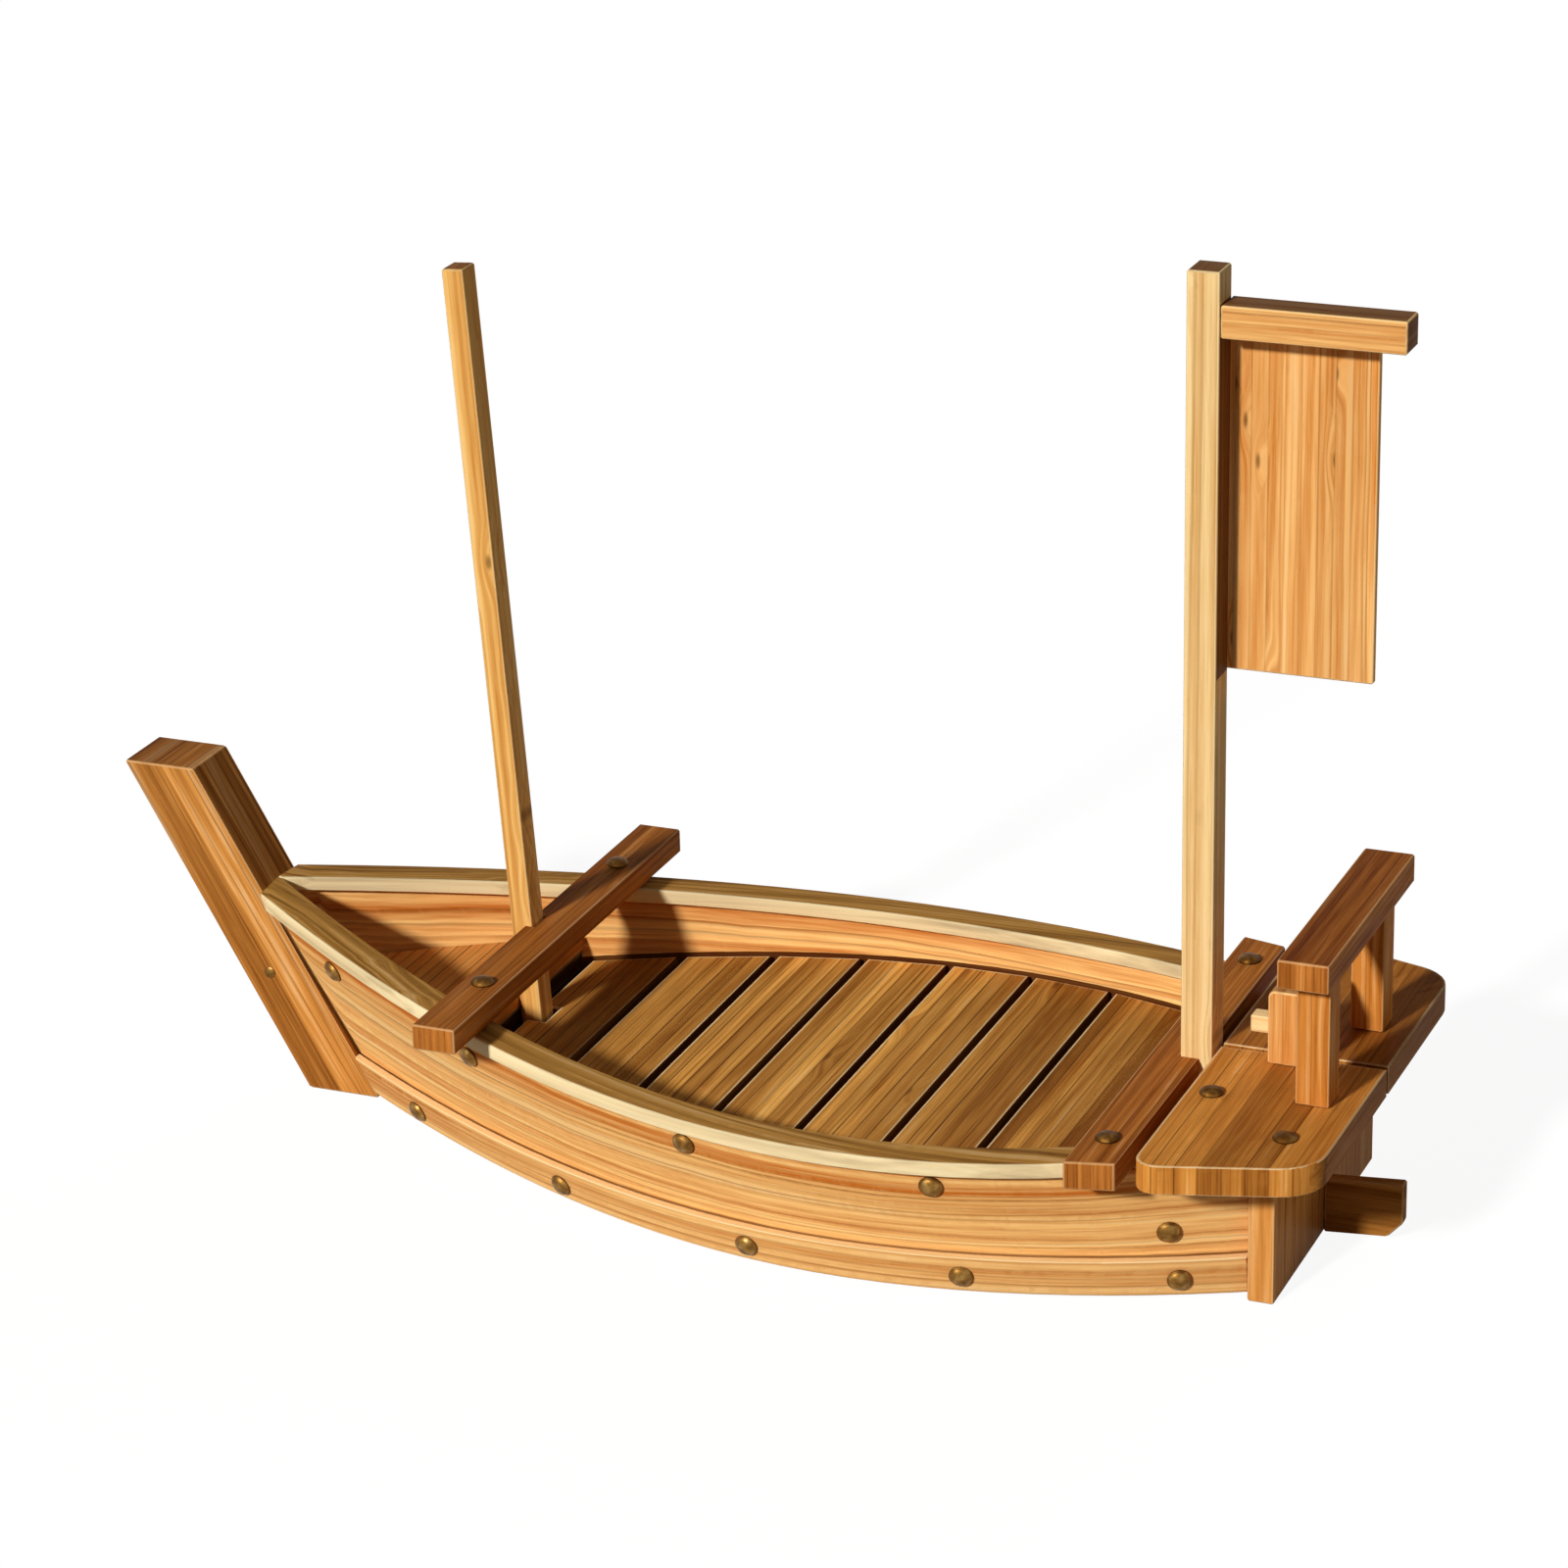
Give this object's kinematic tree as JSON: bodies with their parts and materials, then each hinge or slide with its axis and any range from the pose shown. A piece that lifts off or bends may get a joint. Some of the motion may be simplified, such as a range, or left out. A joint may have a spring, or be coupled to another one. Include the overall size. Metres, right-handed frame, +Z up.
{
  "type": "wooden sushi boat",
  "caption": "Wooden funamori serving boat: planked hull with a slatted serving floor, raked stem, stern deck with rail and rudder, and lift-out masts, one with a sail board.",
  "frame": {"origin": "on the table under the middle of the overall length, on the centreline", "axes": "+X towards the stern, +Y to starboard, +Z up"},
  "size_m": [0.6094, 0.2652, 0.429],
  "materials": {
    "pale_wood": "satin lacquer on pale straight-grained wood",
    "honey_wood": "satin lacquer on honey-coloured wood",
    "orange_wood": "satin lacquer on orange-brown wood",
    "brown_wood": "satin lacquer on brown laminated strips",
    "dark_wood": "satin lacquer on dark brown wood",
    "antique_brass": "aged, half polished"
  },
  "bodies": {
    "hull": {"aft_thwart": "brown_wood", "bottom_board": "brown_wood", "closing_slat": "brown_wood", "crossbeam_nail_port": "antique_brass", "crossbeam_nail_starboard": "antique_brass", "deck_nail_back_port": "antique_brass", "deck_nail_front_port": "antique_brass", "deck_nail_front_starboard": "antique_brass", "floor_bearer_port": "dark_wood", "floor_bearer_starboard": "dark_wood", "floor_slat_1": "brown_wood", "floor_slat_2": "brown_wood", "floor_slat_3": "brown_wood", "floor_slat_4": "brown_wood", "floor_slat_5": "brown_wood", "floor_slat_6": "brown_wood", "foredeck": "orange_wood", "front_bulkhead": "dark_wood", "front_crossbeam": "brown_wood", "gunwale_port": "pale_wood", "gunwale_starboard": "pale_wood", "lower_nail_port_1": "antique_brass", "lower_nail_port_2": "antique_brass", "lower_nail_port_3": "antique_brass", "lower_nail_port_4": "antique_brass", "lower_nail_port_5": "antique_brass", "lower_strake_port": "orange_wood", "lower_strake_starboard": "orange_wood", "mast_step_plank": "brown_wood", "rail_beam": "brown_wood", "rail_post_port": "honey_wood", "rail_post_starboard": "honey_wood", "rudder_blade": "dark_wood", "rudder_head": "honey_wood", "stem": "orange_wood", "stern_deck_port": "brown_wood", "stern_deck_starboard": "brown_wood", "thwart_nail_port": "antique_brass", "thwart_nail_starboard": "antique_brass", "tiller": "pale_wood", "transom": "orange_wood", "upper_nail_port_1": "antique_brass", "upper_nail_port_2": "antique_brass", "upper_nail_port_3": "antique_brass", "upper_nail_port_4": "antique_brass", "upper_nail_port_5": "antique_brass", "upper_nail_starboard_1": "antique_brass", "upper_nail_starboard_2": "antique_brass", "upper_nail_starboard_3": "antique_brass", "upper_nail_starboard_4": "antique_brass", "upper_nail_starboard_5": "antique_brass", "upper_strake_port": "honey_wood", "upper_strake_starboard": "honey_wood"},
    "front_mast": {"front_mast": "pale_wood"},
    "rear_rig": {"rear_mast": "pale_wood", "yard": "honey_wood", "sail_panel": "orange_wood"}
  },
  "joints": [
    {"name": "front_mast_lift", "type": "slide", "parent": "hull", "child": "front_mast", "axis": [-0.0647, 0, 0.9979], "range_m": [0, 0.09]},
    {"name": "rear_rig_lift", "type": "slide", "parent": "hull", "child": "rear_rig", "axis": [0, 0, 1], "range_m": [0, 0.08]}
  ]
}
